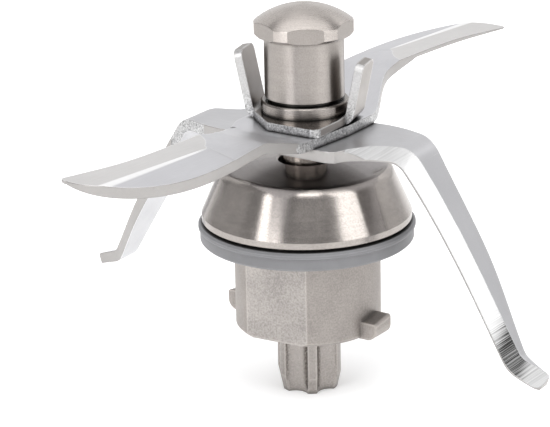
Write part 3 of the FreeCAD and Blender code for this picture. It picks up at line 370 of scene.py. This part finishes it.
def cast_steel(name, slot, level, warmth, grain=3600.0, contrast=0.2, roughness=0.42):
    """Fine sand casting: matt, grainy, with a few darker specks and painted highlights along the edges."""
    s = Shader(name, slot)
    sand = s.noise(s.place, grain, 5.0, 0.65)
    fine = s.noise(s.place, 9000.0, 2.0)
    patches = s.noise(s.place, 150.0, 3.0)
    mixed = s.math("ADD", s.math("MULTIPLY", sand, 0.7), s.math("MULTIPLY", patches, 0.3))
    shade = s.fit(mixed, 0.38, 0.62, 0.0, 1.0)
    colour = s.blend(shade, grey(level * (1 - contrast), warmth), grey(level * (1 + contrast), warmth))
    # Painted highlights along the edges
    painted_edge_glint = s.math("MULTIPLY", s.edge_lines(0.5 * MM), 0.45)
    colour = s.blend(painted_edge_glint, colour, grey(level * 1.9, warmth))
    s.link(s.with_painted_shade(colour, 0.4), s.bsdf.inputs["Base Color"])
    s.link(s.fit(sand, 0.3, 0.7, roughness, roughness + 0.16), s.bsdf.inputs["Roughness"])
    s.bsdf.inputs["Metallic"].default_value = 0.9
    height = s.math("ADD", s.math("MULTIPLY", sand, 0.75), s.math("MULTIPLY", fine, 0.25))
    s.link(s.bump(height, 0.06 * MM, 0.5, s.soft_edges(0.3 * MM)), s.bsdf.inputs["Normal"])
    return s


def rubber(name, slot, level, roughness, dust):
    """Moulded rubber with a dusting that lightens it unevenly, and painted highlights along its edges."""
    s = Shader(name, slot)
    cloud = s.noise(s.place, 220.0, 4.0)
    specks = s.noise(s.place, 5000.0, 2.0)
    shade = s.fit(cloud, 0.35, 0.65, 0.0, 1.0)
    colour = s.blend(shade, grey(level, -0.04), grey(level * (1 + dust), -0.04))
    # Painted highlights along the edges
    painted_rim_highlight = s.math("MULTIPLY", s.edge_lines(0.3 * MM), 0.5)
    s.link(s.with_painted_shade(s.blend(painted_rim_highlight, colour, grey(level * 1.8, -0.03))), s.bsdf.inputs["Base Color"])
    s.link(s.fit(specks, 0.3, 0.7, roughness * 0.9, roughness * 1.1), s.bsdf.inputs["Roughness"])
    s.link(s.bump(specks, 0.01 * MM, 0.3, s.soft_edges(0.3 * MM)), s.bsdf.inputs["Normal"])
    return s


def dress(name, *shaders, choose=None):
    """Gives a node its materials; choose picks one of them for a face by its middle and normal."""
    mesh = nodes[name].data
    mesh.materials.clear()
    for shader in shaders:
        mesh.materials.append(shader.material)
    for face in mesh.polygons:
        face.material_index = choose(face.center, face.normal) if choose else 0


def heading(angle):
    """A level direction, turned from X towards Y."""
    return Vector((math.cos(angle), math.sin(angle), 0.0))


# The finishes. Each takes its name, its slot, its grey level and mostly its warmth, and then what
# its kind of surface needs: roughness, anisotropy, the direction of the grain.
cap_steel = turned_steel(
    "cap_turned_steel", "turned_steel", 0.46, 0.085, 0.28, 0.75, lines=0.3, contrast=0.12)
head_flat_steel = turned_steel("head_flat_steel", "turned_steel", 0.31, 0.085, 0.32, 0.0, lines=0.3)
sleeve_steel = turned_steel(
    "sleeve_turned_steel", "turned_steel", 0.36, 0.085, 0.36, 0.7, lines=0.3, contrast=0.12)
ring_steel = turned_steel("ring_turned_steel", "turned_steel", 0.27, 0.09, 0.26, 0.75, lines=0.3)
spindle_steel = turned_steel("spindle_turned_steel", "turned_steel", 0.5, 0.12, 0.14, 0.94, lines=0.15)
bell_brushed = turned_steel(
    "bell_brushed_steel", "bell_steel", 0.36, 0.085, 0.23, 0.84, lines=0.22, contrast=0.14)
bell_polished = turned_steel("bell_polished_steel", "bell_steel", 0.24, 0.08, 0.12, 0.3, lines=0.05)
upper_face = sheet_steel(
    "upper_blade_face", "sheet_steel", 0.64, -0.035, 0.36, heading(UPPER_TURN),
    edge_highlight=0.3, gap_shade=True, painted_crease=True)
upper_ground = sheet_steel(
    "upper_ground_face", "sheet_steel", 0.68, 0.015, 0.42, heading(UPPER_TURN),
    grain_height=0.0, edge_highlight=0.6, painted_crease=True)
lower_face = sheet_steel("lower_blade_face", "sheet_steel", 0.58, -0.025, 0.36, heading(LOWER_TURN))
ear_face = sheet_steel("ear_plate_face", "sheet_steel", 0.29, 0.08, 0.33, heading(EAR_TURN))
ear_top = sheet_steel("ear_plate_top", "sheet_steel", 0.3, 0.08, 0.22, heading(EAR_TURN), grain_height=0.1)
sheet_edge = cut_edge("sheet_cut_edge", "sheet_steel", 0.5)
ear_edge = cut_edge("ear_cut_edge", "sheet_steel", 0.5, fade=EAR_SPECKLE)
smooth_edge = sheet_steel(
    "sheet_smooth_edge", "sheet_steel", 0.39, 0.035, 0.4, heading(UPPER_TURN), grain_height=0.1, edge_highlight=0.0)
cast = cast_steel("cast_body_steel", "cast_steel", 0.32, 0.085)
cast_flat = cast_steel("cast_flat_steel", "cast_steel", 0.37, 0.07, grain=3000.0, contrast=0.27)
cast_star = cast_steel("cast_star_steel", "cast_steel", 0.31, 0.08, roughness=0.16)
bearing = turned_steel("bearing_ground_steel", "bearing_steel", 0.7, 0.0, 0.15, 0.2)
cage = turned_steel("cage_pressed_steel", "cage_steel", 0.55, 0.02, 0.35, 0.2)
spring = turned_steel("spring_dark_steel", "spring_steel", 0.3, 0.0, 0.35, 0.2)
silicone = rubber("gasket_silicone", "silicone", 0.18, 0.5, 0.12)
nitrile = rubber("seal_nitrile", "seal_rubber", 0.035, 0.5, 0.3)

# The lower blade's grinding marks follow the drop arm: outwards, down the slope, out in the foot
lower_path = heading(LOWER_TURN) * 0.6 + Vector((0.0, 0.0, -0.8))
lower_twin_path = -heading(LOWER_TURN) * 0.6 + Vector((0.0, 0.0, -0.8))
lower_ground = ground_steel("lower_ground_edge", "sheet_steel", 0.58, lower_path)
lower_twin_ground = ground_steel("lower_twin_ground_edge", "sheet_steel", 0.58, lower_twin_path)


# Each of the functions below takes the middle and the normal of a face, and returns the place of
# its finish in the list that the node is dressed with
def upper_side(middle, normal):
    """The sheet's face 0, pitted edge 1 at the hub, ground band 2, smooth edge 3 on the arms."""
    if abs(normal.z) < UPPER_EDGE_UP:
        return 1 if abs(middle.dot(heading(UPPER_TURN))) < HUB_EDGE_END else 3
    return 2 if normal.z > UPPER_LEVEL_UP and middle.z > GROUND_LEVEL else 0


def lower_side(middle, normal):
    """The sheet's face 0, smooth edge 1, ground edge 2 on one arm and 3 on the other, pits 4."""
    out = middle.dot(heading(LOWER_TURN))
    arm = 1 if out > 0 else -1
    keen = -normal.dot(heading(LOWER_TURN + math.pi / 2)) * arm
    if GRIND_SLOPE[0] < keen < GRIND_SLOPE[1] and abs(out) > LOWER_ARM_START and normal.z > GRIND_UP:
        return 2 if arm > 0 else 3
    if abs(normal.z) > LOWER_EDGE_UP:
        return 0
    return 4 if keen < 0 and LOWER_PITTED[0] < abs(out) < LOWER_PITTED[1] else 1


def ear_side(middle, normal):
    """The sheet's face 0, its cut edge 1, the level tops 2."""
    if normal.z > EAR_TOP_UP:
        return 2
    return 1 if abs(normal.dot(heading(EAR_TURN + math.pi / 2))) > EAR_EDGE_ACROSS else 0


def bell_side(middle, normal):
    """The brushed cone 0, the polished top 1."""
    return 1 if middle.z > BELL_POLISHED_FROM and normal.z > BELL_TOP_UP else 0


def cap_side(middle, normal):
    """The turned head 0, the sleeve 1, the flats of the hexagon 2."""
    if middle.z < HEAD_UNDERSIDE:
        return 1
    off_flat = (math.atan2(normal.y, normal.x) - HEAD_FLAT_TURN) % HEXAGON_STEP
    off_flat = min(off_flat, HEXAGON_STEP - off_flat)
    return 2 if abs(normal.z) < HEAD_UPRIGHT_UP and off_flat < FLAT_TOLERANCE else 0


def body_side(middle, normal):
    """The cast body 0, its two flats 1."""
    return 1 if abs(normal.dot(heading(BODY_FLAT_TURN))) > BODY_FLAT_ACROSS else 0


dress("cap_nut", cap_steel, sleeve_steel, head_flat_steel, choose=cap_side)
dress("clamp_ring", ring_steel)
dress("spindle", spindle_steel)
dress("inner_spacer", spindle_steel)
dress("bell_cover", bell_brushed, bell_polished, choose=bell_side)
dress("upper_blade", upper_face, sheet_edge, upper_ground, smooth_edge, choose=upper_side)
dress("lower_blade", lower_face, smooth_edge, lower_ground, lower_twin_ground, sheet_edge, choose=lower_side)
dress("ear_plate", ear_face, ear_edge, ear_top, choose=ear_side)
dress("bearing_housing", cast, cast_flat, choose=body_side)
dress("drive_coupling", cast_star)
dress("gasket", silicone)
for piece in ("shaft_seal", "cover_o_ring"):
    dress(piece, nitrile)
for piece in ("seal_spring", "retaining_ring"):
    dress(piece, spring)
for which in ("upper", "lower"):
    for part in ("inner_ring", "outer_ring", "balls"):
        dress(which + "_bearing_" + part, bearing)
    dress(which + "_bearing_cage", cage)


def make_floor():
    """A plain pale floor that the foot of the coupling stands on."""
    half = FLOOR_HALF
    corners = [(-half, -half, 0.0), (half, -half, 0.0), (half, half, 0.0), (-half, half, 0.0)]
    mesh = bpy.data.meshes.new("floor")
    mesh.from_pydata(corners, [], [(0, 1, 2, 3)])
    floor = bpy.data.objects.new("floor", mesh)
    scene.collection.objects.link(floor)
    material = bpy.data.materials.new("pale_floor")
    material.use_nodes = True
    bsdf = material.node_tree.nodes["Principled BSDF"]
    bsdf.inputs["Base Color"].default_value = grey(0.94)
    bsdf.inputs["Emission Color"].default_value = grey(1.0)
    bsdf.inputs["Emission Strength"].default_value = 0.3
    bsdf.inputs["Roughness"].default_value = 0.9
    bsdf.inputs["Specular IOR Level"].default_value = 0.1
    mesh.materials.append(material)


def make_softbox(name, azimuth, elevation, distance, width, height, power):
    """A rectangular lamp that faces the middle of the picture."""
    data = bpy.data.lights.new(name, "AREA")
    data.shape = "RECTANGLE"
    data.size = width
    data.size_y = height
    data.energy = power
    lamp = bpy.data.objects.new(name, data)
    turn = math.radians(azimuth)
    tilt = math.radians(elevation)
    out = Vector((math.sin(turn) * math.cos(tilt), -math.cos(turn) * math.cos(tilt), math.sin(tilt)))
    lamp.location = TARGET + out * distance
    lamp.rotation_mode = "QUATERNION"
    lamp.rotation_quaternion = out.to_track_quat("Z", "Y")
    scene.collection.objects.link(lamp)


def make_camera():
    """The camera looks along Y and down, and is rolled a little, as the photograph is."""
    data = bpy.data.cameras.new("camera")
    data.sensor_fit = "HORIZONTAL"
    data.sensor_width = SENSOR
    data.lens = FOCAL_PIXELS / PHOTO_WIDTH * SENSOR
    data.clip_start = 0.01
    data.clip_end = 20.0
    camera = bpy.data.objects.new("camera", data)
    scene.collection.objects.link(camera)
    back = Vector((0.0, -math.cos(ELEVATION), math.sin(ELEVATION)))
    level = Vector((1.0, 0.0, 0.0))
    upright = level.cross(-back)
    right = level * math.cos(ROLL) + upright * math.sin(ROLL)
    up = upright * math.cos(ROLL) - level * math.sin(ROLL)
    turn = Matrix((right, up, back)).transposed()
    camera.matrix_world = Matrix.Translation(TARGET + back * DISTANCE) @ turn.to_4x4()
    scene.camera = camera


def make_world(strength, colour):
    """An even pale light from all round."""
    world = bpy.data.worlds.new("studio")
    world.use_nodes = True
    background = world.node_tree.nodes["Background"]
    background.inputs["Color"].default_value = colour
    background.inputs["Strength"].default_value = strength
    scene.world = world


make_floor()
make_world(WORLD_STRENGTH, WORLD_COLOUR)
for lamp_row in LAMPS:
    make_softbox(*lamp_row)
make_camera()
scene.view_settings.view_transform = "Standard"
